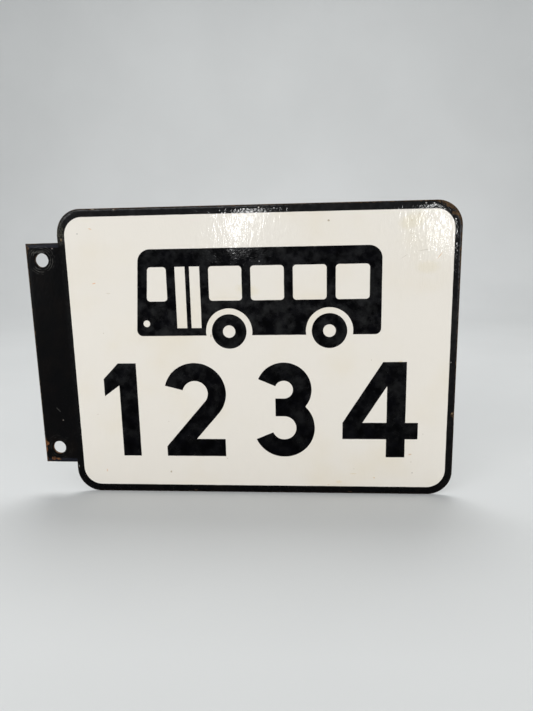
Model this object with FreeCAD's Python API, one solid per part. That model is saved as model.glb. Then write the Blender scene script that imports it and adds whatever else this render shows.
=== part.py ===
import FreeCAD, Part
import math
import os

# Double-sided bus stop flag: one blanked steel plate with a bolt tab, enamelled black, with a white
# enamel panel on each face and, on each panel, a black bus symbol over a row of route numbers.
# Millimetres. The sign stands as in use: +Z up, -Y out of its front face, +X away from the post.
# The origin is midway between the two bolt holes, on the plate's middle plane.

# Plate
body_width = 406.4           # 16 in
body_height = 304.8          # 12 in
corner_radius = 25.4         # 1 in
tab_width = 34.5             # how far the bolt tab stands out of the body
tab_step = 33.4              # from the body's upper and lower edges to the tab's ends
plate_thickness = 3.0        # steel with its black enamel on both faces
edge_roll = 4.5              # width of the band along every edge where the faces fall away
rim_radius = 0.9             # roundness of the rim itself

# Bolt holes in the tab
bolt_hole_diameter = 13.5    # clearance for a 1/2 in bolt
bolt_setback = 16.5          # from the tab's outer edge to the holes
bolt_end_margin = 17.4       # from the tab's ends to the holes, which sets them 8 in (203.2) apart
hole_mouth = 0.6             # how far the enamel slopes into each hole

# White panel on each face
side_border = 8.0            # black left showing at the panel's two ends
top_border = 8.5             # black left showing above and below the panel
panel_radius = 19.0
panel_thickness = 0.2
panel_edge = 0.08            # soft edge of the panel's coat
stencil_shift = 0.3          # panel and symbols lie this far towards the free end

# Black symbols on each panel
symbol_thickness = 0.15
row_margin = 33.4            # white left above the upper row and below the lower one
row_gap = 15.0               # white left between the two rows, which have the same height
stroke = 19.4                # thickness of the numbers' lines

# Bus symbol, seen from its side with the front end to the left
bus_margin = 69.2            # white left at each end of the bus
bus_floor = 14.0             # underside of the body, above the wheels' lowest point
nose_rake = 6.0              # how far the front end leans back
roof_radius = 13.0
skirt_radius = 6.0
wheel_radius = 18.0
hub_radius = 6.5
wheel_arch_gap = 6.0
front_overhang = 97.0        # from the front end back to the front wheel's centre
rear_overhang = 52.0         # from the rear end forward to the rear wheel's centre
window_sill = 50.0           # windows' lower edge, above the wheels' lowest point
window_head = 18.0           # from the windows' upper edge up to the roof
window_radius = 3.5          # the door leaves have square corners
nose_post = 10.0             # from the front end to the cab window
cab_window_width = 24.0
door_leaf_count = 2
door_leaf_width = 10.5
door_bar = 4.5               # between the two door leaves
door_step = 8.0              # from the bus's underside up to the door leaves
pillar = 9.0                 # between all other windows
tail_post = 12.0             # from the last window to the rear end
side_window_count = 4
lamp_radius = 3.5
lamp_height = 13.0           # above the bus's underside
lamp_from_nose = 11.0

# Route numbers
number_margin = 29.5         # white left at each end of the numbers' row
one_width = 36.0
one_flag_drop = 17.0         # from the top down to the flag's upper tip
one_flag_end = 19.0          # height of the flag's cut end
one_flag_rise = 12.0         # from the flag's lower tip up to where it joins the stem
two_width = 66.0
two_opening = 165.0          # the bowl starts this far round from the right, in degrees
two_lip = 11.0               # height of the foot's left end
two_foot_trim = 2.0          # the foot ends this far short of the bowl's right side
three_upper_radius = 29.0
three_opening = 157.0        # both bowls end this far round from the right, in degrees
three_waist_reach = 9.0      # the waist bar ends this far left of the bowls' centres
three_notch_radius = 1.5     # between the two bowls on the right
four_width = 78.0
four_overhang = 13.0         # crossbar beyond the stem
four_bar_height = 20.0       # crossbar's lower edge above the foot
four_bar_thickness = 18.0
four_diagonal = 17.5
four_top_width = 24.0

half_height = body_height / 2
half_tab = half_height - tab_step
half_bolt_spacing = half_tab - bolt_end_margin
half_plate = plate_thickness / 2
tab_left = -bolt_setback
body_left = tab_left + tab_width
body_right = body_left + body_width
panel_centre = (body_left + body_right) / 2 + stencil_shift
panel_half_width = body_width / 2 - side_border
panel_half_height = half_height - top_border
row_height = panel_half_height - row_margin - row_gap / 2


def at(x, z, y=0.0):
    return FreeCAD.Vector(x, y, z)


def polar(centre, radius, degrees):
    angle = math.radians(degrees)
    return centre + at(radius * math.cos(angle), radius * math.sin(angle))


def arc(centre, radius, start, end):
    """Arc about a centre from one angle to another, in degrees, the way the angles run."""
    middle = polar(centre, radius, (start + end) / 2)
    return Part.Arc(polar(centre, radius, start), middle, polar(centre, radius, end))


def outline(*steps):
    """Closed outline through points and arcs in turn, joined by straight lines."""
    edges = []
    for i, step in enumerate(steps):
        following = steps[(i + 1) % len(steps)]
        here = step
        there = following
        if isinstance(step, Part.Arc):
            edges.append(step.toShape())
            here = step.value(step.LastParameter)
        if isinstance(following, Part.Arc):
            there = following.value(following.FirstParameter)
        if here.distanceToPoint(there) > 1e-6:
            edges.append(Part.LineSegment(here, there).toShape())
    return Part.Wire(edges)


def rounded(*corners):
    """Closed outline with straight sides through corners given as (x, z, radius)."""
    points = [at(x, z) for x, z, radius in corners]
    steps = []
    for i, (x, z, radius) in enumerate(corners):
        back = (points[i - 1] - points[i]).normalize()
        ahead = (points[(i + 1) % len(points)] - points[i]).normalize()
        half_angle = back.getAngle(ahead) / 2
        reach = radius / math.tan(half_angle)
        middle = points[i] + (back + ahead).normalize() * (radius / math.sin(half_angle) - radius)
        steps.append(Part.Arc(points[i] + back * reach, middle, points[i] + ahead * reach))
    return outline(*steps)


def box(left, right, bottom, top):
    return outline(at(left, bottom), at(right, bottom), at(right, top), at(left, top))


def rounded_box(left, right, bottom, top, radius):
    return rounded((left, bottom, radius), (right, bottom, radius), (right, top, radius), (left, top, radius))


def disc(x, z, radius):
    return Part.Wire(Part.makeCircle(radius, at(x, z), FreeCAD.Vector(0, 1, 0)))


def prism(wire, y_from, y_to):
    face = Part.Face(wire)
    face.translate(FreeCAD.Vector(0, y_from, 0))
    return face.extrude(FreeCAD.Vector(0, y_to - y_from, 0))


def plate_outline(inset):
    """The blank's outline moved inwards, starting halfway up the free end."""
    right = body_right - inset
    left = body_left + inset
    top = half_height - inset
    shoulder = half_tab - inset
    radius = corner_radius - inset
    return outline(at(right, 0),
                   arc(at(right - radius, top - radius), radius, 0, 90),
                   arc(at(left + radius, top - radius), radius, 90, 180),
                   at(left, shoulder),
                   at(tab_left + inset, shoulder),
                   at(tab_left + inset, -shoulder),
                   at(left, -shoulder),
                   arc(at(left + radius, radius - top), radius, 180, 270),
                   arc(at(right - radius, radius - top), radius, 270, 360))


def edge_section():
    """Section across the edge band at the free end: both faces fall away in long arcs to a round rim."""
    rim = min(rim_radius, 0.9 * half_plate)
    run = edge_roll - rim
    crown = (run ** 2 + half_plate ** 2 - rim ** 2) / (2 * (half_plate - rim))
    tilt = math.atan2(run, crown - half_plate)

    def crown_point(angle, side):
        height = half_plate - crown + crown * math.cos(angle)
        return at(body_right - edge_roll + crown * math.sin(angle), 0, side * height)

    def crown_arc(side):
        return Part.Arc(crown_point(0, side), crown_point(tilt / 2, side), crown_point(tilt, side))

    return Part.Wire(Part.__sortEdges__([
        crown_arc(-1).toShape(),
        Part.Arc(crown_point(tilt, -1), at(body_right, 0), crown_point(tilt, 1)).toShape(),
        crown_arc(1).toShape(),
        Part.LineSegment(crown_point(0, 1), crown_point(0, -1)).toShape()]))


def bolt_hole(z):
    """Through hole with a sloping mouth on each face, as a cutting shape turned about the bolt's axis."""
    radius = bolt_hole_diameter / 2
    mouth = min(hole_mouth, 0.9 * half_plate)
    section = outline(at(0, 0, -half_plate), at(radius + mouth, 0, -half_plate),
                      at(radius, 0, mouth - half_plate), at(radius, 0, half_plate - mouth),
                      at(radius + mouth, 0, half_plate), at(0, 0, half_plate))
    hole = Part.Face(section).revolve(at(0, 0), FreeCAD.Vector(0, 1, 0), 360)
    hole.translate(at(0, z))
    return hole


def enamelled_plate():
    """Flat middle with the edge band swept round the whole outline, mitred at the tab's corners.

    The flat is in two fields that meet where the tab begins, so that the bracket's seat on the tab is a
    face of its own.
    """
    band = plate_outline(0).makePipeShell([edge_section()], True, False, 1)
    flat = prism(plate_outline(edge_roll), -half_plate, half_plate)
    tab_side = Part.makeBox(tab_width, plate_thickness, body_height,
                            at(tab_left, -half_height, -half_plate))
    blank = flat.common(tab_side).fuse([flat.cut(tab_side), band])
    return blank.cut([bolt_hole(-half_bolt_spacing), bolt_hole(half_bolt_spacing)])


def coat(outer, openings, seat, thickness):
    """Enamel field on the front, its back at a depth from the middle plane."""
    field = prism(outer, -seat, -seat - thickness)
    if openings:
        field = field.cut([prism(wire, -seat, -seat - thickness) for wire in openings])
    return field


def white_panel():
    field = rounded_box(panel_centre - panel_half_width, panel_centre + panel_half_width,
                        -panel_half_height, panel_half_height, panel_radius)
    panel = coat(field, [], half_plate, panel_thickness)
    rim = [edge for edge in panel.Edges if edge.BoundBox.YMax < -half_plate - panel_thickness / 2]
    return panel.makeChamfer(panel_edge, rim)


def bus_windows(nose, tail, floor, sill, head, lean):
    """Openings in the bus's body: cab window, two door leaves and the row of side windows."""
    cab_left = nose + nose_post
    cab_right = cab_left + cab_window_width
    cab = rounded((cab_left + lean * (sill - floor), sill, window_radius), (cab_right, sill, window_radius),
                  (cab_right, head, window_radius), (cab_left + lean * (head - floor), head, window_radius))
    windows = [cab]
    left = cab_right + pillar
    for leaf in range(door_leaf_count):
        windows.append(box(left, left + door_leaf_width, floor + door_step, head))
        left += door_leaf_width + door_bar
    left += pillar - door_bar
    width = (tail - tail_post - left + pillar) / side_window_count - pillar
    for window in range(side_window_count):
        windows.append(rounded_box(left, left + width, sill, head, window_radius))
        left += width + pillar
    return windows


def bus_symbol():
    """Side view of a bus: its body, open at windows, lamp and wheel arches, and its two wheels."""
    low = row_gap / 2
    nose = panel_centre - panel_half_width + bus_margin
    tail = panel_centre + panel_half_width - bus_margin
    floor = low + bus_floor
    roof = low + row_height
    axle = low + wheel_radius
    lean = nose_rake / (roof - floor)
    wheels = [nose + front_overhang, tail - rear_overhang]
    body = rounded((nose, floor, skirt_radius), (tail, floor, skirt_radius), (tail, roof, roof_radius),
                   (nose + nose_rake, roof, roof_radius))
    openings = bus_windows(nose, tail, floor, low + window_sill, roof - window_head, lean)
    openings.append(disc(nose + lamp_from_nose, floor + lamp_height, lamp_radius))
    openings += [disc(x, axle, wheel_radius + wheel_arch_gap) for x in wheels]
    return [(body, openings)] + [(disc(x, axle, wheel_radius), [disc(x, axle, hub_radius)]) for x in wheels]


def number_one(left, foot):
    right = left + one_width
    stem = right - stroke
    top = foot + row_height
    low_tip = top - one_flag_drop - one_flag_end
    return outline(at(stem, foot), at(right, foot), at(right, top), at(stem, top), at(left, top - one_flag_drop),
                   at(left, low_tip), at(stem, low_tip + one_flag_rise)), []


def number_two(left, foot):
    """Round bowl whose stroke runs off at a tangent down to the foot's left end."""
    radius = two_width / 2
    inner = radius - stroke
    centre = at(left + radius, foot + row_height - radius)
    lip = at(left, foot + two_lip)
    to_lip = lip - centre
    turn = math.degrees(math.atan2(to_lip.z, to_lip.x) + math.acos(inner / to_lip.Length))
    bowl_end = polar(centre, radius, turn)
    fall = (bowl_end.z - foot - stroke) / math.cos(math.radians(turn))
    neck = bowl_end + polar(at(0, 0), fall, turn - 90)
    foot_right = left + two_width - two_foot_trim
    return outline(arc(centre, radius, two_opening, turn), neck, at(foot_right, foot + stroke),
                   at(foot_right, foot), at(left, foot), lip, arc(centre, inner, turn, two_opening)), []


def three_lower_radius():
    """The two bowls share one stroke at the waist."""
    return (row_height + stroke) / 2 - three_upper_radius


def number_three(left, foot):
    """Two round bowls, the smaller above, meeting in a waist bar and a rounded notch."""
    upper = three_upper_radius
    lower = three_lower_radius()
    middle = left + lower
    high = at(middle, foot + row_height - upper)
    low = at(middle, foot + lower)
    apart = high.z - low.z
    to_high = upper + three_notch_radius
    to_low = lower + three_notch_radius
    notch_rise = (to_low ** 2 - to_high ** 2 + apart ** 2) / (2 * apart)
    notch_low = math.degrees(math.asin(notch_rise / to_low))
    notch_high = -math.degrees(math.asin((apart - notch_rise) / to_high))
    notch = arc(polar(low, to_low, notch_low), three_notch_radius, 180 + notch_high, 180 + notch_low)
    bar_end = middle - three_waist_reach
    bar_top = foot + 2 * lower
    return outline(arc(high, upper, three_opening, notch_high), notch,
                   arc(low, lower, notch_low, -three_opening),
                   arc(low, lower - stroke, -three_opening, 90), at(bar_end, bar_top - stroke),
                   at(bar_end, bar_top), arc(high, upper - stroke, -90, three_opening)), []


def number_four(left, foot):
    """Stem and crossbar, with a diagonal that closes a three-cornered opening."""
    top = foot + row_height
    right = left + four_width
    stem_right = right - four_overhang
    stem_left = stem_right - stroke
    bar_low = foot + four_bar_height
    bar_top = bar_low + four_bar_thickness
    top_left = stem_right - four_top_width
    slope = math.atan2(top - bar_top, top_left - left)
    opening_left = left + four_diagonal / math.sin(slope)
    opening_top = bar_top + (stem_left - opening_left) * math.tan(slope)
    opening = outline(at(opening_left, bar_top), at(stem_left, bar_top), at(stem_left, opening_top))
    return outline(at(left, bar_low), at(stem_left, bar_low), at(stem_left, foot), at(stem_right, foot),
                   at(stem_right, bar_low), at(right, bar_low), at(right, bar_top), at(stem_right, bar_top),
                   at(stem_right, top), at(top_left, top), at(left, bar_top)), [opening]


def route_numbers():
    """The lower row: four plain numbers, evenly spaced between the panel's two margins."""
    numbers = [(number_one, one_width), (number_two, two_width), (number_three, 2 * three_lower_radius()),
               (number_four, four_width)]
    room = 2 * (panel_half_width - number_margin)
    gap = (room - sum(width for draw, width in numbers)) / (len(numbers) - 1)
    left = panel_centre - room / 2
    fields = []
    for draw, width in numbers:
        fields.append(draw(left, -row_gap / 2 - row_height))
        left += width + gap
    return fields


def print_on_panel(fields):
    seat = half_plate + panel_thickness
    return Part.makeCompound([coat(outer, openings, seat, symbol_thickness) for outer, openings in fields])


def write_both_faces(name, front):
    """The back carries the same print, turned half round so that it reads from its own side."""
    back = front.copy()
    back.rotate(at(panel_centre, 0), at(0, 1), 180)
    front.exportStep("parts/" + name + "_front.step")
    back.exportStep("parts/" + name + "_back.step")


os.makedirs("parts", exist_ok=True)
enamelled_plate().exportStep("parts/enamelled_plate.step")
write_both_faces("white_panel", white_panel())
write_both_faces("bus_symbol", print_on_panel(bus_symbol()))
write_both_faces("route_numbers", print_on_panel(route_numbers()))
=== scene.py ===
import math

import bmesh
import bpy
import numpy
from mathutils import Matrix, Quaternion, Vector, noise
from mathutils.geometry import delaunay_2d_cdt


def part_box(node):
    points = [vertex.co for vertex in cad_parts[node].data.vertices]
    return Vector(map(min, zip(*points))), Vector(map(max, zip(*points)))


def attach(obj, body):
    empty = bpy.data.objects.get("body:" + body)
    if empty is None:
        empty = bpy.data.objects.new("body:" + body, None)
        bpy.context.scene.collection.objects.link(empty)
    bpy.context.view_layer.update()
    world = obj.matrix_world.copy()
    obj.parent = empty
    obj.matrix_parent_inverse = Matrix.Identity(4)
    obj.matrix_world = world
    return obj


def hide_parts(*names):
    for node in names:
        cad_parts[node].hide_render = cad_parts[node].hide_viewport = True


# Finish of a double-sided enamelled bus stop flag: its plate with rolled, chipped and rusted edges, the
# white panel and the black symbols on both faces. The sign's own sizes are in millimetres and are turned
# to metres where a mesh is made. Lamps, camera and floor are placed in metres.

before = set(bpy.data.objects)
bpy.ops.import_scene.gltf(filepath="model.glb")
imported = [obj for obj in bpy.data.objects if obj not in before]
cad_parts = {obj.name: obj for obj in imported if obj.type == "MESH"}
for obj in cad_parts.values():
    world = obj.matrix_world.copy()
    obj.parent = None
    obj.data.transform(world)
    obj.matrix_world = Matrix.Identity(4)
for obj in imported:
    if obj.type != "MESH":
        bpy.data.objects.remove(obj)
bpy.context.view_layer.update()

MM = 0.001

# Plate
body_width = 406.4
body_height = 304.8
corner_radius = 25.4
tab_width = 34.5           # how far the bolt tab stands out of the body
tab_step = 33.4            # from the body's upper and lower edges to the tab's ends
plate_thickness = 3.0      # steel with its black enamel on both faces
edge_roll = 4.5            # width of the band along every edge where the faces fall away
rim_radius = 0.9           # roundness of the rim itself
bolt_hole_radius = 6.75
bolt_setback = 16.5        # from the tab's outer edge to the middles of the holes
bolt_end_margin = 17.4     # from the tab's ends to the middles of the holes
hole_mouth = 0.6           # roundness of the enamel at each hole's mouth

half_plate = plate_thickness / 2
top = body_height / 2
tab_top = top - tab_step
tab_left = -bolt_setback
left = tab_left + tab_width
right = left + body_width
bolt_height = tab_top - bolt_end_margin

# Fineness of the meshes
rim_pitch = 0.8            # along the rim
crown_rows = 5             # across the rolled band
rim_rows = 8               # round the rim
flat_rows = (2.2, 1.0)     # beside the rolled band, this far in on the flat
flat_margin = 3.0          # from the rolled band to the flat's own points
hole_pieces = 72           # round a bolt hole
mouth_rows = 4             # across its soft mouth
hole_row = 1.0             # beside the mouth, this far out on the flat
hole_margin = 2.2          # from a bolt hole's wall to the flat's own points
tab_pitch = 0.9            # on the tab, where small marks lie
field_pitch = 12.0         # on the plain flat of the body, which the panel covers
field_gap = 4.0            # between the tab's points and the body's
coat_pitch = 1.5           # along the outlines of panel and symbols
lip_rows = 4               # up a coat's round lip, and again from there down to its field
one_level = 0.01           # points of a solid whose depths differ by less lie on one level
arc_turn = 20              # neighbouring chords that turn by less, in degrees, may lie on one arc
arc_likeness = 0.03        # if their lengths differ by less than this share
batch = 2000               # points that are told inside from outside at a time

# Enamel coats
seat_depth = 0.02          # how deep a coat reaches into what carries it
lip_height = 0.03          # how far a coat's rounded lip stands above its field
lip_rise = 0.3             # from the coat's outline in to the top of its lip
lip_foot = 0.55            # from the coat's outline in to where its level field begins
field_start = 0.7          # from the coat's outline in to the field's own points
corner_reach = 2.5         # along a straight side, this far from its corners has no points
stencil_wander = 0.12      # how far the brushed stencil edge strays
stencil_wave = 7.0         # from one bulge of that edge to the next
sharpest_mitre = 0.3       # keeps the mitre of a sharper corner short
coat_clearance = 0.001     # keeps the top of each lip inside the box of the solids


def linear(code):
    """Linear colour of an sRGB hex code."""
    parts = [int(code[i:i + 2], 16) / 255 for i in (1, 3, 5)]
    return [v / 12.92 if v <= 0.04045 else ((v + 0.055) / 1.055) ** 2.4 for v in parts] + [1.0]


def smooth_step(low, high, value):
    share = min(1.0, max(0.0, (value - low) / (high - low)))
    return share * share * (3 - 2 * share)


def stray(x, z, wave, seed):
    """Smooth noise over the sign, from about -1 to 1, with waves of a length in millimetres."""
    return noise.noise(Vector((x / wave, z / wave, seed)))


# Meshes
class Skin:
    """Vertices and faces of one closed piece, in millimetres. Each vertex keeps its way into the piece."""

    def __init__(self):
        self.points = []
        self.ways = []
        self.faces = []

    def ring(self, points, ways):
        start = len(self.points)
        self.points += points
        self.ways += ways
        return list(range(start, len(self.points)))

    def band(self, first, second):
        for i in range(len(first)):
            j = (i + 1) % len(first)
            self.faces.append((first[i], first[j], second[j], second[i]))

    def fill(self, rings, inner, depth, way):
        """Level field between closed rings, with points of its own where inner gives them."""
        loops = [[(self.points[i][0], self.points[i][2]) for i in ring] for ring in rings]
        inner = [p for p, kept in zip(inner, inside(inner, loops)) if kept]
        own = self.ring([(x, depth, z) for x, z in inner], [way] * len(inner))
        names = [i for ring in rings for i in ring] + own
        edges = []
        for loop in loops:
            start = len(edges)
            edges += [(start + i, start + (i + 1) % len(loop)) for i in range(len(loop))]
        flat = [Vector(p) for loop in loops for p in loop] + [Vector(p) for p in inner]
        found = delaunay_2d_cdt(flat, edges, [], 1, 1e-7)
        if len(found[0]) != len(flat):
            raise ValueError("two points of a field's outline are the same")
        middles = [sum((found[0][i] for i in face), Vector((0, 0))) / 3 for face in found[2]]
        for face, kept in zip(found[2], inside(middles, loops)):
            if kept:
                self.faces.append([names[i] for i in face])


def inside(points, loops):
    """Which points lie inside the outer loops and outside the openings."""
    ends = [numpy.array(loop, float) for loop in loops]
    a = numpy.concatenate(ends)
    b = numpy.concatenate([numpy.roll(loop, -1, axis=0) for loop in ends])
    found = []
    for start in range(0, len(points), batch):
        p = numpy.array([tuple(q) for q in points[start:start + batch]], float)[:, None]
        spans = (a[:, 1] > p[..., 1]) != (b[:, 1] > p[..., 1])
        shine_with_painted_foot_shade = numpy.where(a[:, 1] == b[:, 1], 1.0, b[:, 1] - a[:, 1])
        cut = a[:, 0] + (b[:, 0] - a[:, 0]) * (p[..., 1] - a[:, 1]) / shine_with_painted_foot_shade
        found += list((spans & (p[..., 0] < cut)).sum(axis=1) % 2 == 1)
    return found


def grid(low_x, high_x, low_z, high_z, pitch):
    columns = math.ceil((high_x - low_x) / pitch)
    rows = math.ceil((high_z - low_z) / pitch)
    return [(low_x + (high_x - low_x) * (i + 0.5) / columns, low_z + (high_z - low_z) * (j + 0.5) / rows)
            for i in range(columns) for j in range(rows)]


def made(name, skin, material, replaced, marks=()):
    """Blender object from a skin, with its marks as one number for each vertex."""
    mesh = bpy.data.meshes.new(name)
    mesh.from_pydata([Vector(p) * MM for p in skin.points], [], skin.faces)
    for mark, values in dict(marks).items():
        mesh.attributes.new(mark, "FLOAT", "POINT").data.foreach_set("value", values)
    shaped = bmesh.new()
    shaped.from_mesh(mesh)
    bmesh.ops.recalc_face_normals(shaped, faces=shaped.faces)
    if shaped.calc_volume(signed=True) < 0:
        bmesh.ops.reverse_faces(shaped, faces=shaped.faces)
    shaped.to_mesh(mesh)
    shaped.free()
    mesh.shade_smooth()
    mesh.materials.append(material)
    piece = bpy.data.objects.new(name, mesh)
    bpy.context.scene.collection.objects.link(piece)
    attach(piece, "root")
    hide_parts(replaced)
    return piece


# The plate
def rim_stations():
    """Points round the rim, each with its way inwards, mitred where the tab begins and ends."""
    stations = []
    shoulder = top - corner_radius

    def straight(start, start_way, end, end_way):
        count = math.ceil((Vector(end) - Vector(start)).length / rim_pitch)
        for i in range(count):
            share = i / count
            stations.append((Vector(start).lerp(Vector(end), share),
                             Vector(start_way).lerp(Vector(end_way), share)))

    def corner(x, z, first):
        count = math.ceil(corner_radius * math.pi / 2 / rim_pitch)
        for i in range(count):
            angle = math.radians(first + 90 * i / count)
            out = Vector((math.cos(angle), math.sin(angle)))
            stations.append((Vector((x, z)) + out * corner_radius, -out))

    straight((right, -shoulder), (-1, 0), (right, shoulder), (-1, 0))
    corner(right - corner_radius, shoulder, 0)
    straight((right - corner_radius, top), (0, -1), (left + corner_radius, top), (0, -1))
    corner(left + corner_radius, shoulder, 90)
    straight((left, shoulder), (1, 0), (left, tab_top), (1, -1))
    straight((left, tab_top), (1, -1), (tab_left, tab_top), (1, -1))
    straight((tab_left, tab_top), (1, -1), (tab_left, -tab_top), (1, 1))
    straight((tab_left, -tab_top), (1, 1), (left, -tab_top), (1, 1))
    straight((left, -tab_top), (1, 1), (left, -shoulder), (1, 0))
    corner(left + corner_radius, -shoulder, 180)
    straight((left + corner_radius, -top), (0, 1), (right - corner_radius, -top), (0, 1))
    corner(right - corner_radius, -shoulder, 270)
    return stations


def edge_rows():
    """Section of the edge from the front's flat round the rim to the back's: inset, depth, way in."""
    run = edge_roll - rim_radius
    crown = (run ** 2 + half_plate ** 2 - rim_radius ** 2) / (2 * (half_plate - rim_radius))
    tilt = math.atan2(run, crown - half_plate)
    rows = [(edge_roll + row, half_plate, 0.0) for row in flat_rows]
    for i in range(crown_rows):
        angle = tilt * i / crown_rows
        rows.append((edge_roll - crown * math.sin(angle),
                     half_plate - crown + crown * math.cos(angle), angle))
    for i in range(rim_rows // 2):
        angle = tilt + (math.pi / 2 - tilt) * i / (rim_rows // 2)
        rows.append((rim_radius - rim_radius * math.sin(angle), rim_radius * math.cos(angle), angle))
    rows.append((0.0, 0.0, math.pi / 2))
    front = [(inset, -height, math.sin(angle), math.cos(angle)) for inset, height, angle in rows]
    back = [(inset, height, math.sin(angle), -math.cos(angle)) for inset, height, angle in rows[-2::-1]]
    return front + back


def hole_rows():
    """Section of a bolt hole from front to back: radius, depth, way in."""
    flare = bolt_hole_radius + hole_mouth
    rows = [(flare + hole_row, half_plate, 0.0)]
    for i in range(mouth_rows + 1):
        angle = math.pi / 2 * i / mouth_rows
        rows.append((flare - hole_mouth * math.sin(angle),
                     half_plate - hole_mouth + hole_mouth * math.cos(angle), angle))
    front = [(radius, -height, math.sin(angle), math.cos(angle)) for radius, height, angle in rows]
    back = [(radius, height, math.sin(angle), -math.cos(angle)) for radius, height, angle in rows[::-1]]
    return front + back


# Wear
# Rust on the rim: where it centres, how far it spreads and how far in from the rim it reaches, all in
# millimetres like the other sizes of wear
rim_rust = [
    (right - 8, top - 8, 16, 7.2),
    (right, 96, 42, 2.2),
    (right, 20, 70, 1.5),
    (right, -64, 6, 2.2),
    (tab_left, tab_top - 5, 9, 4.2),
    (tab_left, 88, 18, 2.4),
    (tab_left, 20, 60, 1.5),
    (tab_left, -50, 50, 1.5),
    (tab_left, -99, 8, 4.6),
    (tab_left, -tab_top, 7, 4.2),
]
top_rust = 1.2             # all along the top edge
rust_edge = 0.35           # half the width over which the enamel thins out beside the rust
rust_wave = 4.0            # from one bulge of the rust's edge to the next
rust_stray = 0.8           # how much that edge strays, as a share of the rust's reach
bore_rust = 0.5            # round the bolt holes, out from their walls
bore_stray = 0.25          # how far its edge strays
burnt_edge = (0.9, 2.1)    # brown-black enamel all round the rim fades out between these lines
burnt_wave = 3.0           # from one bulge of its edge to the next
burnt_stray = 0.5          # how far its edge strays
ground_edge = (5.4, 4.4)   # the navy ground coat fades in between these lines, in from the tab's ends
ground_wave = 9.0          # from one bulge of its edge to the next
ground_stray = 0.7         # how far its edge strays
back_seed = 37.0           # another place in the noise, so that the back wears in its own way
hole_inset = 4.5           # the bolt holes' points count as lying this far in from the rim
flat_inset = 9.5           # and the flat's own points this far

# Young orange rust: where it centres and how far it spreads
fresh_places = [(-14, -101, 6), (-15, -118, 4), (-5, -115, 7)]

# Chips on the front: centre, half width, half height
front_chips = [
    (22.5, 121.9, 1.0, 1.5),
    (421.6, -63.6, 1.4, 2.6),
    (20.0, -123.4, 0.6, 1.9),
    (12.2, 113.1, 1.1, 0.8),
    (-12.8, -97.2, 1.5, 2.2),
    (-7.6, -114.4, 2.6, 1.9),
    (-1.6, -115.2, 2.4, 1.2),
    (6.8, -70.4, 0.8, 0.7),
    (57.7, 151.2, 2.7, 0.8),
    (79.2, 150.6, 1.6, 0.8),
    (226.0, 149.4, 1.0, 0.8),
    (318.0, -150.2, 1.9, 0.6),
    (150.0, -150.4, 1.4, 0.7),
]
back_chips = [
    (right - 2.4, 88.0, 1.5, 2.4),
    (right - 12.0, -top + 6.0, 2.6, 1.6),
    (left + 2.2, -131.0, 1.0, 2.2),
    (246.0, top - 2.0, 2.2, 0.9),
    (-9.0, 113.5, 2.8, 1.6),
    (12.4, -92.0, 1.3, 1.0),
    (-14.4, -60.0, 1.4, 2.6),
]
chip_depth = 0.32
chip_edge = (0.8, 1.15)    # the enamel returns between these shares of a chip's size
chip_wave = 1.7            # from one bulge of a chip's edge to the next
chip_stray = 0.55          # how much that edge strays, as a share of the chip's size

# Scratches on the front of the tab: level ones by height, start and end, and a short slanting one by its
# middle, its direction and half its length
level_scratches = [(111.7, -10, 7), (109.6, -9, 4)]
slant_middle = (2.9, -58.6)
slant_way = (0.69, -0.72)
slant_reach = 3.2
scratch_edge = 0.8         # where a scratch ends, from its middle line


def from_hole(x, z):
    """How far a point lies out from the wall of the nearer bolt hole."""
    return min(math.hypot(x, z - bolt_height), math.hypot(x, z + bolt_height)) - bolt_hole_radius


def worn_off(x, y, z, inset):
    """How far the enamel is gone at a point of the plate, from 0 to 1."""
    seed = back_seed if y > 0 else 0.0
    reach = top_rust if z > top - corner_radius and inset < edge_roll + flat_margin else 0.0
    for centre_x, centre_z, spread, depth in rim_rust:
        near = math.exp(-((x - centre_x) ** 2 + (z - centre_z) ** 2) / spread ** 2)
        reach = max(reach, depth * near)
    rough = noise.fractal(Vector((x / rust_wave, z / rust_wave, seed)), 0.6, 2.0, 2)
    reach *= 0.8 + rust_stray * rough
    gone = 1 - smooth_step(reach - rust_edge, reach + rust_edge, inset)
    ragged = 1 + chip_stray * stray(x, z, chip_wave, seed + 9)
    for centre_x, centre_z, half_width, half_height in (back_chips if y > 0 else front_chips):
        if abs(x - centre_x) < 2 * half_width and abs(z - centre_z) < 2 * half_height:
            far = math.hypot((x - centre_x) / half_width, (z - centre_z) / half_height)
            gone = max(gone, 1 - smooth_step(chip_edge[0] * ragged, chip_edge[1] * ragged, far))
    return max(gone, 1 - smooth_step(0.1, bore_rust, from_hole(x, z) + bore_stray * rough))


def burnt(x, z, inset):
    """Where the enamel is thin and burnt brown along the rim, from 0 to 1."""
    return 1 - smooth_step(*burnt_edge, inset + burnt_stray * stray(x, z, burnt_wave, 11.0))


def fresh_rust(x, z):
    """Where the rust is young and orange, from 0 to 1."""
    return max(math.exp(-((x - a) ** 2 + (z - b) ** 2) / spread ** 2) for a, b, spread in fresh_places)


def ground_shown(x, z):
    """Where the cover coat was held back from the tab's ends, from 0 to 1."""
    if x > left + 1:
        return 0.0
    start, full = ground_edge
    height = abs(z) + ground_stray * stray(x, z, ground_wave, 3.0)
    return smooth_step(tab_top - start, tab_top - full, height)


def scuffed(x, y, z):
    """Pale scratches on the front of the tab, from 0 to 1."""
    if y >= 0 or x >= left - 0.5:
        return 0.0
    found = 0.0
    for height, start, end in level_scratches:
        if start < x < end:
            found = max(found, 1 - smooth_step(0.3, scratch_edge, abs(z - height)))
    from_x = x - slant_middle[0]
    from_z = z - slant_middle[1]
    along = from_x * slant_way[0] + from_z * slant_way[1]
    across = from_x * slant_way[1] - from_z * slant_way[0]
    if abs(along) < slant_reach:
        found = max(found, 0.8 * (1 - smooth_step(0.2, scratch_edge, abs(across))))
    return found


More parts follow.
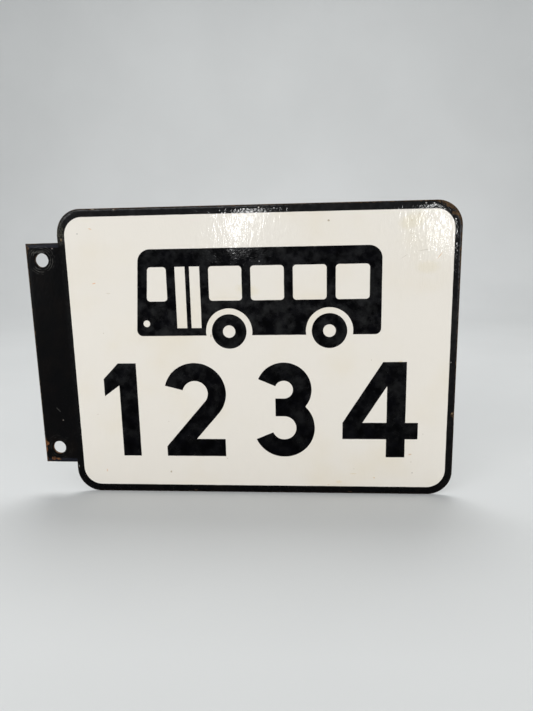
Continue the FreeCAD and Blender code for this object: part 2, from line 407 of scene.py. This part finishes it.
def edge_skin(skin):
    """The rolled edge all round, as rings from the front's flat to the back's, each with its inset."""
    stations = rim_stations()
    rings = []
    insets = []
    for inset, depth, across, through in edge_rows():
        points = [(p.x + way.x * inset, depth, p.y + way.y * inset) for p, way in stations]
        ways = [Vector((way.x * across, through, way.y * across)) for p, way in stations]
        rings.append(skin.ring(points, ways))
        insets += [inset] * len(points)
    for first, second in zip(rings, rings[1:]):
        skin.band(first, second)
    return rings, insets


def hole_skin(skin, centre):
    """One bolt hole, as rings from the front's flat to the back's."""
    turns = [2 * math.pi * i / hole_pieces for i in range(hole_pieces)]
    rings = []
    for radius, depth, across, through in hole_rows():
        points = [(radius * math.cos(t), depth, centre + radius * math.sin(t)) for t in turns]
        ways = [Vector((math.cos(t) * across, through, math.sin(t) * across)) for t in turns]
        rings.append(skin.ring(points, ways))
    for first, second in zip(rings, rings[1:]):
        skin.band(first, second)
    return rings


def plate(material):
    skin = Skin()
    rings, insets = edge_skin(skin)
    holes = [hole_skin(skin, centre) for centre in (bolt_height, -bolt_height)]
    insets += [hole_inset] * (len(skin.points) - len(insets))
    clear = edge_roll + flat_margin
    dots = grid(tab_left + clear, left + clear, -tab_top + clear, tab_top - clear, tab_pitch)
    dots = [(x, z) for x, z in dots if from_hole(x, z) > hole_margin]
    dots += grid(left + clear + field_gap, right - clear, -top + clear, top - clear, field_pitch)
    for depth, ring, end in ((-half_plate, rings[0], 0), (half_plate, rings[-1], -1)):
        way = Vector((0, -math.copysign(1, depth), 0))
        skin.fill([ring] + [hole[end] for hole in holes], dots, depth, way)
    insets += [flat_inset] * (len(skin.points) - len(insets))
    marks = {"bare": [], "burnt": [], "fresh": [], "ground": [], "scuff": []}
    for i, (x, y, z) in enumerate(skin.points):
        gone = worn_off(x, y, z, insets[i])
        marks["bare"].append(gone)
        marks["burnt"].append(burnt(x, z, insets[i]))
        marks["fresh"].append(fresh_rust(x, z))
        marks["ground"].append(ground_shown(x, z))
        marks["scuff"].append(scuffed(x, y, z))
        skin.points[i] = Vector((x, y, z)) + skin.ways[i] * chip_depth * gone
    return made("plate", skin, material, "enamelled_plate", marks)


# Coats: the white panels and the black symbols
def seat_loops(node):
    """Closed outlines of the side on which a coat lies, round its fields and its openings, and how far that
    side lies from the plate's middle."""
    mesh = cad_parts[node].data
    places = [(round(v.co.x / MM, 3), round(v.co.z / MM, 3)) for v in mesh.vertices]
    depths = [abs(v.co.y / MM) for v in mesh.vertices]
    seat = min(depths)
    runs = set()
    for face in mesh.polygons:
        if all(depths[i] < seat + one_level for i in face.vertices):
            corners = [places[i] for i in face.vertices]
            runs |= set(zip(corners, corners[1:] + corners[:1]))
    onward = {a: b for a, b in runs if (b, a) not in runs}
    loops = []
    while onward:
        here, following = onward.popitem()
        loop = [here]
        while following != loop[0]:
            loop.append(following)
            following = onward.pop(following)
        loops.append([Vector(p) for p in loop])
    if area(max(loops, key=lambda loop: abs(area(loop)))) < 0:
        loops = [loop[::-1] for loop in loops]
    return sorted(loops, key=lambda loop: (loop[0].x, loop[0].y)), seat


def area(loop):
    return sum(a.cross(b) for a, b in zip(loop, loop[1:] + loop[:1])) / 2


def turned(way, angle):
    return Vector((way.x * math.cos(angle) - way.y * math.sin(angle),
                   way.x * math.sin(angle) + way.y * math.cos(angle)))


def fine_loop(loop):
    """The outline with short steps, its chords laid back on the arcs that they stand for."""
    count = len(loop)
    sides = [loop[(i + 1) % count] - loop[i] for i in range(count)]
    turns = [math.atan2(sides[i - 1].cross(sides[i]), sides[i - 1].dot(sides[i])) for i in range(count)]
    fine = []
    for i, side in enumerate(sides):
        bend = 0.0
        for neighbour, turn in ((i - 1, turns[i]), ((i + 1) % count, turns[(i + 1) % count])):
            alike = abs(sides[neighbour].length - side.length) < arc_likeness * side.length
            if alike and abs(turn) < math.radians(arc_turn):
                bend = turn
        steps = math.ceil(side.length / coat_pitch)
        if abs(bend) < 1e-3:
            runs = [side.length * j / steps for j in range(steps)]
            fine += [loop[i] + side.normalized() * run for run in runs
                     if run == 0 or corner_reach < run < side.length - corner_reach]
        else:
            radius = side.length / (2 * math.sin(bend / 2))
            centre = loop[i] + side / 2 + side.orthogonal().normalized() * radius * math.cos(bend / 2)
            fine += [centre + turned(loop[i] - centre, bend * j / steps) for j in range(steps)]
    return fine


def moved_in(loop, distance):
    """Each point of an outline moved to its left side by mitred corners."""
    found = []
    for i, here in enumerate(loop):
        before = (here - loop[i - 1]).orthogonal().normalized()
        after = (loop[(i + 1) % len(loop)] - here).orthogonal().normalized()
        across = before + after
        found.append(here + across * (distance / max(sharpest_mitre, across.dot(before))))
    return found


def strayed(loop, distance):
    """Outline as a stencil leaves it, wandering a little to either side."""
    further_in = moved_in(loop, 1.0)
    return [p + (q - p) * distance * stray(p.x, p.y, stencil_wave, 2.0) for p, q in zip(loop, further_in)]


def coat_rows(thickness, sunk):
    """Section of a coat from its outline inwards: inset and height above its seat."""
    field = thickness - lip_height
    rows = [(0.0, -sunk)]
    for i in range(lip_rows + 1):
        angle = math.pi / 2 * i / lip_rows
        rows.append((lip_rise * (1 - math.cos(angle)), thickness * math.sin(angle)))
    for i in range(1, lip_rows + 1):
        share = i / lip_rows
        rows.append((lip_rise + (lip_foot - lip_rise) * share,
                     field + lip_height * (1 + math.cos(math.pi * share)) / 2))
    return rows + [(field_start, field)]


def coat(name, node, material, sunk):
    """A fired coat with a rounded lip in the place of its CAD node, its back sunk into what carries it."""
    loops, seat = seat_loops(node)
    low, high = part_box(node)
    side = -1 if low.y < 0 else 1
    thickness = max(abs(low.y), abs(high.y)) / MM - seat - coat_clearance
    way = Vector((0, -side, 0))
    skin = Skin()
    outlines = []
    for loop in loops:
        fine = strayed(fine_loop(loop), stencil_wander)
        rings = []
        for inset, height in coat_rows(thickness, sunk):
            points = [(p.x, side * (seat + height), p.y) for p in moved_in(fine, inset)]
            rings.append(skin.ring(points, [way] * len(points)))
        for first, second in zip(rings, rings[1:]):
            skin.band(first, second)
        outlines.append(rings)
    dots = grid(low.x / MM, high.x / MM, low.z / MM, high.z / MM, field_pitch)
    skin.fill([rings[0] for rings in outlines], [], side * (seat - sunk), way)
    skin.fill([rings[-1] for rings in outlines], dots, side * (seat + thickness - lip_height), way)
    return made(name, skin, material, node)


# Materials
def add(tree, kind, *values, output=None, **settings):
    """Adds a shader node with its settings. Values or links go to its live inputs in their order, and
    None leaves one as it is. Gives the node's first live output, or the one that is named."""
    found = tree.nodes.new("ShaderNode" + kind)
    for name, value in settings.items():
        setattr(found, name, value)
    inputs = [socket for socket in found.inputs if socket.enabled]
    for socket, value in zip(inputs, values):
        if isinstance(value, bpy.types.NodeSocket):
            tree.links.new(value, socket)
        elif value is not None:
            socket.default_value = value
    if output:
        return found.outputs[output]
    return next(socket for socket in found.outputs if socket.enabled)


def blank_material(name):
    """A new material, its node tree, its shader and the sign's own coordinates in metres."""
    found = bpy.data.materials.new(name)
    found.use_nodes = True
    tree = found.node_tree
    return found, tree, tree.nodes["Principled BSDF"], add(tree, "TexCoord", output="Object")


def every(distance):
    """Scale of a pattern whose grains lie this many millimetres apart."""
    return 1 / (distance * MM)


def relief(tree, place, shader, *layers):
    """Surface relief: the slow sway that the firing left, then layers of the material's own, each a height
    from 0 to 1 and its depth in millimetres."""
    sway = add(tree, "TexNoise", place, every(60), 1.0)
    normal = None
    for height, depth in ((sway, 0.15), *layers):
        normal = add(tree, "Bump", 1.0, depth * MM, None, height, normal)
    tree.links.new(normal, shader.inputs["Normal"])


def blot(tree, place, x, z, half_width, half_height, tilt):
    """Mask of one mark at a place of the sign, in millimetres and degrees, with a soft ragged edge that is
    finer on a small mark."""
    at_mark = add(tree, "Mapping", place, (x * MM, 0, z * MM), (0, math.radians(tilt), 0),
                  (half_width * MM, 1, half_height * MM), vector_type="TEXTURE")
    in_plane = add(tree, "VectorMath", at_mark, (1, 0, 1), operation="MULTIPLY")
    reach = add(tree, "VectorMath", in_plane, operation="LENGTH")
    grain = max(0.5, min(1.6, half_width, half_height))
    ragged = add(tree, "TexNoise", place, every(grain), 2.0)
    edge = add(tree, "Math", ragged, 0.9, reach, operation="MULTIPLY_ADD")
    return add(tree, "MapRange", edge, 0.85, 1.5, 1.0, 0.0, interpolation_type="SMOOTHSTEP")


# Marks on the front's white panel: place, half width and half height in millimetres, tilt in degrees,
# colour and strength
panel_marks = [
    (212.5, 68.0, 15.0, 7.0, 10, "#e2d8bd", 0.45),
    (376.0, 133.0, 17.0, 9.0, -20, "#e2d8bd", 0.45),
    (392.0, 88.0, 14.0, 8.0, 0, "#e2d8c0", 0.4),
    (53.7, 131.9, 2.4, 0.8, 20, "#dfb587", 0.6),
    (53.5, 77.0, 2.1, 0.7, -12, "#e5a873", 0.8),
    (67.8, 66.5, 3.0, 0.8, 5, "#d0c4b2", 0.5),
    (40.0, 127.3, 0.75, 0.65, 0, "#3a3633", 0.85),
    (388.0, 104.6, 8.7, 0.4, -7, "#bdb4a6", 0.7),
    (369.0, 98.9, 5.2, 0.35, -35, "#c4bbae", 0.6),
    (403.1, 99.0, 4.9, 0.4, -52, "#d6a878", 0.9),
    (376.3, 120.8, 4.0, 0.4, 0, "#cbbfa9", 0.6),
    (376.4, 117.4, 3.2, 0.4, 0, "#cbbfa9", 0.6),
    (375.0, 133.2, 1.0, 1.6, 10, "#cfc2a8", 0.6),
    (382.2, 138.9, 1.2, 1.4, 0, "#d2c6ae", 0.5),
    (51.9, -127.8, 0.8, 2.0, 0, "#e2b992", 0.7),
    (46.4, -63.7, 1.1, 0.8, 0, "#cfc3b6", 0.6),
    (362.4, -93.1, 1.3, 1.0, 0, "#cbae84", 0.8),
    (380.1, -107.2, 2.4, 0.9, -8, "#d0ae86", 0.7),
    (381.3, -115.6, 0.6, 0.6, 0, "#a5947e", 0.7),
    (382.8, -127.8, 0.8, 0.7, 0, "#7c7160", 0.8),
    (343.0, -133.7, 1.5, 1.0, 30, "#d6b98e", 0.7),
    (321.0, -129.4, 4.6, 0.7, 0, "#dccbab", 0.6),
    (305.8, -138.7, 4.0, 1.8, 0, "#dfcfae", 0.5),
    (294.6, -142.3, 1.1, 0.5, 0, "#cfae82", 0.7),
    (367.6, -7.1, 3.0, 0.9, -15, "#dccaa4", 0.6),
    (392.7, -84.7, 0.7, 1.1, 0, "#c5bcae", 0.6),
    (268.3, -48.6, 0.7, 0.8, 0, "#a89f92", 0.6),
    (250.0, -57.7, 4.5, 0.4, 12, "#d6cfc1", 0.5),
]
# Pale flecks on the front's border and tab, in the same way. Two of them, on the top border above the left
# lamp's reflection, are painted highlights
border_flecks_and_glints = [
    (388.2, 149.2, 1.0, 0.6, 0, "#d8d5cf", 0.8),
    (395.9, 148.9, 1.0, 0.7, 0, "#dedbd6", 0.9),
    # painted highlights: two glints of lamp light on the top border
    (225.8, 149.0, 0.9, 0.9, 20, "#dedbd6", 0.9),
    (232.1, 146.1, 0.8, 0.8, 0, "#a9a7a4", 0.8),
    (57.7, 151.2, 2.2, 0.6, 0, "#8d8b84", 0.7),
    (79.2, 150.4, 1.2, 0.7, 0, "#8d8b84", 0.7),
    (22.5, 121.9, 0.8, 1.3, 10, "#857459", 0.8),
    (418.1, -8.2, 0.6, 0.7, 0, "#9a9792", 0.8),
    (421.6, -62.4, 1.0, 0.6, 40, "#a28a68", 0.8),
    (20.2, -123.2, 0.5, 1.6, 0, "#8b9090", 0.7),
    (7.1, -70.4, 0.7, 0.7, 0, "#8a8883", 0.8),
    (12.2, 113.1, 1.0, 0.6, -10, "#85868a", 0.7),
]

# Shine of the black glass, as a share of what clean glass has
top_shine = 0.42           # at the sign's top
clean_shine = 1.1          # in the cleanest patches, times the shine at their height
clamped_shine = 0.05       # where the bracket rubbed the tab
ground_shine = 0.16        # of the navy ground coat
matt_shine = 0.1           # of rust and burnt enamel

# Arcs worn by washers, in millimetres out from the middle of a bolt hole. Real ones lie a few tenths of a
# millimetre apart and are drawn coarser, so that they show.
ring_start = 9.4
ring_end = 16.0
ring_spacing = 2.2
ring_wobble = 2.4


def marked(tree, place, colour, marks):
    """Colour with a list of marks laid over it on the front."""
    depth = add(tree, "SeparateXYZ", place, output="Y")
    front = add(tree, "Math", depth, 0.0, operation="LESS_THAN")
    for x, z, half_width, half_height, tilt, code, strength in marks:
        mask = blot(tree, place, x, z, half_width, half_height, tilt)
        faded = add(tree, "Math", mask, strength, operation="MULTIPLY")
        share = add(tree, "Math", faded, front, operation="MULTIPLY")
        colour = add(tree, "Mix", share, colour, linear(code), data_type="RGBA")
    return colour


def film(tree, place, patch, dullest, foot):
    """Patches of the thin film of dirt on the black glass, which lie this many millimetres apart, and the
    shine that it leaves: least under the thickest film. The shine also falls towards the sign's foot, a
    painted shade that darkens the black's reflections there."""
    patches = add(tree, "TexNoise", place, every(patch), 5.0, 0.65)
    clean = add(tree, "MapRange", patches, 0.4, 0.7, dullest, clean_shine, interpolation_type="SMOOTHSTEP")
    # Painted shade: less shine towards the sign's foot darkens the black's reflections there
    height = add(tree, "SeparateXYZ", place, output="Z")
    shine_with_painted_foot_shade = add(tree, "MapRange", height, -top * MM, top * MM, foot, top_shine)
    return patches, add(tree, "Math", clean, shine_with_painted_foot_shade, operation="MULTIPLY")


def washer_rings(tree, place):
    """Mask of the worn arcs that washers left round the bolt holes, fainter at the lower one."""
    x = add(tree, "SeparateXYZ", place, output="X")
    z = add(tree, "SeparateXYZ", place, output="Z")
    either = add(tree, "CombineXYZ", x, 0.0, add(tree, "Math", z, operation="ABSOLUTE"))
    radius = add(tree, "VectorMath", either, (0, 0, bolt_height * MM), operation="DISTANCE", output="Value")
    wobble = add(tree, "TexNoise", place, every(4), 2.0)
    radius = add(tree, "Math", wobble, ring_wobble * MM, radius, operation="MULTIPLY_ADD")
    from_arc = add(tree, "Math", radius, ring_spacing / 2 * MM, operation="PINGPONG")
    arcs = add(tree, "MapRange", from_arc, 0.1 * MM, 0.5 * MM, 1.0, 0.0, interpolation_type="SMOOTHSTEP")
    outer = add(tree, "MapRange", radius, (ring_end - 1.4) * MM, ring_end * MM, 1.0, 0.0)
    inner = add(tree, "MapRange", radius, ring_start * MM, (ring_start + 0.6) * MM, 0.0, 1.0)
    patches = add(tree, "TexNoise", place, every(6), 3.0)
    kept = add(tree, "MapRange", patches, 0.44, 0.6, 0.0, 1.0, interpolation_type="SMOOTHSTEP")
    fading = add(tree, "MapRange", z, -bolt_height * MM, bolt_height * MM, 0.3, 1.0)
    for share in (outer, inner, kept, fading):
        arcs = add(tree, "Math", arcs, share, operation="MULTIPLY")
    return arcs


def white_vitreous_enamel():
    """Fired glass, opaque and warm white: a deep gloss over a surface that sagged a little in the firing,
    so each reflection breaks up into upright streaks. Years outdoors left pale blooms, specks and scratches.
    The real streaks are down to 1 mm wide and are drawn 4 mm apart, so that they show."""
    found, tree, shader, place = blank_material("white_vitreous_enamel_fired")
    clouds = add(tree, "TexNoise", place, every(85), 3.0)
    bloom = add(tree, "MapRange", clouds, 0.45, 0.75, 0.0, 1.0, interpolation_type="SMOOTHSTEP")
    colour = add(tree, "Mix", bloom, linear("#e9e3d9"), linear("#e7dfd0"), data_type="RGBA")
    colour = marked(tree, place, colour, panel_marks)
    specks = add(tree, "TexNoise", place, every(5.5), 0.0)
    pits = add(tree, "MapRange", specks, 0.13, 0.10, 0.0, 1.0, interpolation_type="SMOOTHSTEP")
    colour = add(tree, "Mix", pits, colour, linear("#b9ad99"), data_type="RGBA")
    tree.links.new(colour, shader.inputs["Base Color"])
    shader.inputs["Roughness"].default_value = 0.09
    shader.inputs["IOR"].default_value = 1.52
    shader.inputs["Specular IOR Level"].default_value = 0.24
    drawn_out = add(tree, "Mapping", place, None, None, (1, 1, 0.3))
    streaks = add(tree, "TexNoise", drawn_out, every(4.0), 1.0, 0.5, None, 1.0)
    relief(tree, place, shader, (streaks, 0.12))
    return found


def black_vitreous_enamel():
    """The same fired glass in black, brushed through a stencil: near black, with mottled reflections. Its
    ripple is as coarse as the render needs to show it."""
    found, tree, shader, place = blank_material("black_vitreous_enamel_stencilled")
    clouds = add(tree, "TexNoise", place, every(9), 3.0)
    haze = add(tree, "MapRange", clouds, 0.35, 0.75, 0.0, 1.0, interpolation_type="SMOOTHSTEP")
    colour = add(tree, "Mix", haze, linear("#040405"), linear("#08080b"), data_type="RGBA")
    tree.links.new(colour, shader.inputs["Base Color"])
    patches, shine = film(tree, place, patch=15, dullest=0.06, foot=0.04)
    tree.links.new(shine, shader.inputs["Specular IOR Level"])
    dull = add(tree, "MapRange", patches, 0.35, 0.75, 0.15, 0.07, interpolation_type="SMOOTHSTEP")
    tree.links.new(dull, shader.inputs["Roughness"])
    shader.inputs["IOR"].default_value = 1.46
    ripple = add(tree, "TexNoise", place, every(3.2), 1.0, 0.5, None, 0.5)
    relief(tree, place, shader, (ripple, 0.07))
    return found


# How ragged each mark of the plate is: the amount at which it begins to show and at which it shows in full
mark_edges = [("bare", 0.36, 0.62), ("burnt", 0.3, 0.8), ("ground", 0.4, 0.6), ("scuff", 0.25, 0.95)]


def plate_masks(tree, place):
    """Masks of bare steel, burnt enamel, ground coat and scratches, with edges as rough as broken glass. The
    splinters are drawn 1 mm apart, coarser than real ones, so that they show."""
    grit = add(tree, "TexNoise", place, every(1.1), 3.0, 0.6)
    jitter = add(tree, "Math", grit, 0.5, -0.25, operation="MULTIPLY_ADD")
    masks = []
    for mark, low, high in mark_edges:
        amount = add(tree, "Attribute", attribute_name=mark, output="Fac")
        rough_edged = add(tree, "Math", amount, jitter, operation="ADD")
        masks.append(add(tree, "MapRange", rough_edged, low, high, 0.0, 1.0,
                         interpolation_type="SMOOTHSTEP"))
    return masks


def rusted(tree, place):
    """Colour of rusted steel: brown blooms and near-black scale, and orange where the rust is young. Real
    rust has grains of a few tenths of a millimetre, drawn coarser so that they show."""
    blooms = add(tree, "TexNoise", place, every(2.6), 4.0, 0.65)
    brown = add(tree, "MapRange", blooms, 0.35, 0.65, 0.0, 1.0, interpolation_type="SMOOTHSTEP")
    rust = add(tree, "Mix", brown, linear("#241a13"), linear("#5b4733"), data_type="RGBA")
    young = add(tree, "Attribute", attribute_name="fresh", output="Fac")
    orange = add(tree, "Math", young, brown, operation="MULTIPLY")
    rust = add(tree, "Mix", orange, rust, linear("#8c5631"), data_type="RGBA")
    scale = add(tree, "TexNoise", place, every(1.3), 2.0)
    flakes = add(tree, "MapRange", scale, 0.62, 0.76, 0.0, 1.0, interpolation_type="SMOOTHSTEP")
    return add(tree, "Mix", flakes, rust, linear("#17110d"), data_type="RGBA")


def crazed(tree, place):
    """Mask of the crumbled enamel beside the body's top left corner."""
    corner = blot(tree, place, x=22.0, z=129.0, half_width=6.0, half_height=14.0, tilt=0)
    crumbs = add(tree, "TexNoise", place, every(1.5), 2.0)
    shown = add(tree, "MapRange", crumbs, 0.46, 0.58, 0.0, 0.8, interpolation_type="SMOOTHSTEP")
    return add(tree, "Math", corner, shown, operation="MULTIPLY")


def steel_colour(tree, place, bare, thin, ground, scuff):
    clouds = add(tree, "TexNoise", place, every(22), 4.0)
    haze = add(tree, "MapRange", clouds, 0.4, 0.8, 0.0, 1.0, interpolation_type="SMOOTHSTEP")
    colour = add(tree, "Mix", haze, linear("#050506"), linear("#0c0908"), data_type="RGBA")
    colour = add(tree, "Mix", ground, colour, linear("#0f111b"), data_type="RGBA")
    rubbed = add(tree, "Math", scuff, washer_rings(tree, place), operation="MAXIMUM")
    rubbed = add(tree, "Math", rubbed, 0.5, operation="MULTIPLY")
    colour = add(tree, "Mix", rubbed, colour, linear("#5f5d59"), data_type="RGBA")
    colour = add(tree, "Mix", thin, colour, linear("#1b130d"), data_type="RGBA")
    colour = add(tree, "Mix", bare, colour, rusted(tree, place), data_type="RGBA")
    colour = add(tree, "Mix", crazed(tree, place), colour, linear("#424036"), data_type="RGBA")
    return marked(tree, place, colour, border_flecks_and_glints)


def steel_gloss(tree, place, bare, thin, ground):
    """Shine and roughness: mottled gloss on the border, dull on the tab, matt on rust and burnt enamel."""
    patches, shine = film(tree, place, patch=6, dullest=0.55, foot=0.07)
    across = add(tree, "SeparateXYZ", place, output="X")
    clamped = add(tree, "MapRange", across, (left + 2) * MM, (left + 12) * MM, 1.0, 0.0)
    matt = add(tree, "Math", bare, thin, operation="MAXIMUM")
    shine = add(tree, "Mix", clamped, shine, clamped_shine, data_type="FLOAT")
    shine = add(tree, "Mix", ground, shine, ground_shine, data_type="FLOAT")
    shine = add(tree, "Mix", matt, shine, matt_shine, data_type="FLOAT")
    rough = add(tree, "MapRange", patches, 0.35, 0.75, 0.07, 0.03, interpolation_type="SMOOTHSTEP")
    rough = add(tree, "Math", clamped, 0.15, rough, operation="MULTIPLY_ADD")
    return shine, add(tree, "Mix", matt, rough, 0.75, data_type="FLOAT")


def black_enamelled_steel():
    """Steel plate in black cover enamel over a navy ground coat: mottled gloss on the border, dull on the
    tab that sat in its bracket. The thin enamel of the rim is burnt brown, and where it has chipped off
    the steel has rusted rough."""
    found, tree, shader, place = blank_material("black_enamelled_steel_chipped")
    bare, thin, ground, scuff = plate_masks(tree, place)
    tree.links.new(steel_colour(tree, place, bare, thin, ground, scuff), shader.inputs["Base Color"])
    shine, rough = steel_gloss(tree, place, bare, thin, ground)
    tree.links.new(shine, shader.inputs["Specular IOR Level"])
    tree.links.new(rough, shader.inputs["Roughness"])
    shader.inputs["IOR"].default_value = 1.46
    ripple = add(tree, "TexNoise", place, every(4.0), 1.0, 0.5, None, 0.8)
    scaly = add(tree, "TexNoise", place, every(0.9), 4.0, 0.7)
    pitted = add(tree, "Math", scaly, bare, operation="MULTIPLY")
    relief(tree, place, shader, (ripple, 0.12), (pitted, 0.3))
    return found


plate(black_enamelled_steel())
white = white_vitreous_enamel()
black = black_vitreous_enamel()
for face in ("front", "back"):
    coat("panel_coat_" + face, "white_panel_" + face, white, seat_depth)
    coat("bus_coat_" + face, "bus_symbol_" + face, black, lip_height + seat_depth)
    coat("number_coat_" + face, "route_numbers_" + face, black, lip_height + seat_depth)


# Floor and light, in metres
floor_level = -top * MM
panel_middle = Vector(((left + right) / 2 * MM, 0, 0))


def studio_floor():
    """Pale painted floor that turns up into a wall behind the sign in one smooth sweep."""
    front_edge = -5.0
    turn_start = 1.3
    turn_radius = 0.9
    turn_rows = 24
    wall_top = 4.5
    half_width = 6.0
    profile = [(front_edge, 0.0)]
    for i in range(turn_rows + 1):
        angle = math.pi / 2 * i / turn_rows
        profile.append((turn_start + turn_radius * math.sin(angle), turn_radius * (1 - math.cos(angle))))
    profile.append((turn_start + turn_radius, wall_top))
    mesh = bpy.data.meshes.new("studio_floor")
    points = [(x, y, floor_level + z) for y, z in profile for x in (-half_width, half_width)]
    mesh.from_pydata(points, [], [(2 * i, 2 * i + 1, 2 * i + 3, 2 * i + 2) for i in range(len(profile) - 1)])
    mesh.shade_smooth()
    found, tree, shader, place = blank_material("matt_floor_paint_rolled")
    clouds = add(tree, "TexNoise", place, every(400), 3.0)
    mottle = add(tree, "MapRange", clouds, 0.3, 0.7, 0.0, 1.0, interpolation_type="SMOOTHSTEP")
    colour = add(tree, "Mix", mottle, linear("#d5d6d5"), linear("#d9dad9"), data_type="RGBA")
    tree.links.new(colour, shader.inputs["Base Color"])
    shader.inputs["Roughness"].default_value = 0.9
    shader.inputs["Specular IOR Level"].default_value = 0.2
    mesh.materials.append(found)
    floor = bpy.data.objects.new("studio_floor", mesh)
    bpy.context.scene.collection.objects.link(floor)


def softbox(name, place, target, width, height, radiance, shape="RECTANGLE", lean=0):
    """Flat lamp facing a target, leaning by some degrees. Its power follows from its face's radiance."""
    lamp = bpy.data.lights.new(name, "AREA")
    lamp.shape = shape
    lamp.size = width
    lamp.size_y = height
    share = math.pi / 4 if shape == "ELLIPSE" else 1.0
    lamp.energy = radiance * math.pi * width * height * share
    holder = bpy.data.objects.new(name, lamp)
    holder.location = place
    holder.rotation_mode = "QUATERNION"
    facing = (Vector(target) - Vector(place)).to_track_quat("-Z", "Y")
    holder.rotation_quaternion = facing @ Quaternion((0, 0, 1), math.radians(lean))
    bpy.context.scene.collection.objects.link(holder)


# Camera, where the photograph's was, with its picture's longer side along the sensor's width
camera_place = Vector((0.2731, -0.5693, 0.1129))
camera_pitch = math.radians(-11.21)
camera_yaw = math.radians(-4.28)
camera_roll = math.radians(1.19)
focal_pixels = 560
picture_height = 711


def photograph_camera():
    data = bpy.data.cameras.new("camera")
    data.lens = data.sensor_width * focal_pixels / picture_height
    camera = bpy.data.objects.new("camera", data)
    ahead = Vector((math.sin(camera_yaw) * math.cos(camera_pitch),
                    math.cos(camera_yaw) * math.cos(camera_pitch),
                    math.sin(camera_pitch)))
    level = ahead.cross(Vector((0, 0, 1))).normalized()
    up = level.cross(ahead) * math.cos(camera_roll) + level * math.sin(camera_roll)
    axes = Matrix((ahead.cross(up), up, -ahead)).transposed()
    camera.matrix_world = Matrix.Translation(camera_place) @ axes.to_4x4()
    bpy.context.scene.collection.objects.link(camera)
    bpy.context.scene.camera = camera


# Soft lamps: place and size in metres, and the radiance of the face
softboxes = [
    ("key_softbox", (-0.8, -2.2, 1.8), 2.0, 1.5, 1.97),
    ("right_fill_softbox", (1.8, -1.5, 0.35), 1.0, 0.9, 2.2),
    ("left_fill_softbox", (-1.3, -1.5, 0.3), 1.0, 0.9, 2.7),
    ("top_softbox", (0.2, 0.9, 2.0), 1.6, 1.0, 4.8),
]
# Two narrow lamps show in the gloss: where the foot of each shows on the front, in millimetres, its size in
# metres, its lean in degrees and the radiance of its face
glints = [
    ("left_glint_lamp", (233, 111), 0.024, 0.36, -28, 90.0),
    ("right_glint_lamp", (393, 101), 0.028, 0.26, 16, 72.0),
]
glint_distance = 2.0


def glint_lamp(name, x, z, width, height, lean, radiance):
    """Lamp whose foot the camera sees in the front's gloss at a place of the sign."""
    spot = Vector((x * MM, -half_plate * MM, z * MM))
    ray = (spot - camera_place).normalized()
    foot = spot + Vector((ray.x, -ray.y, ray.z)) * glint_distance
    angle = math.radians(lean)
    middle = foot + Vector((math.sin(angle), 0, math.cos(angle))) * height / 2
    softbox(name, middle, spot, width, height, radiance, "ELLIPSE", lean)


def pale_sky():
    world = bpy.data.worlds.new("studio_light")
    world.use_nodes = True
    background = world.node_tree.nodes["Background"]
    background.inputs["Color"].default_value = linear("#d5d8db")
    background.inputs["Strength"].default_value = 0.72
    bpy.context.scene.world = world


studio_floor()
photograph_camera()
for name, place, width, height, radiance in softboxes:
    softbox(name, place, panel_middle, width, height, radiance)
for name, (x, z), width, height, lean, radiance in glints:
    glint_lamp(name, x, z, width, height, lean, radiance)
pale_sky()
bpy.context.scene.view_settings.view_transform = "Standard"
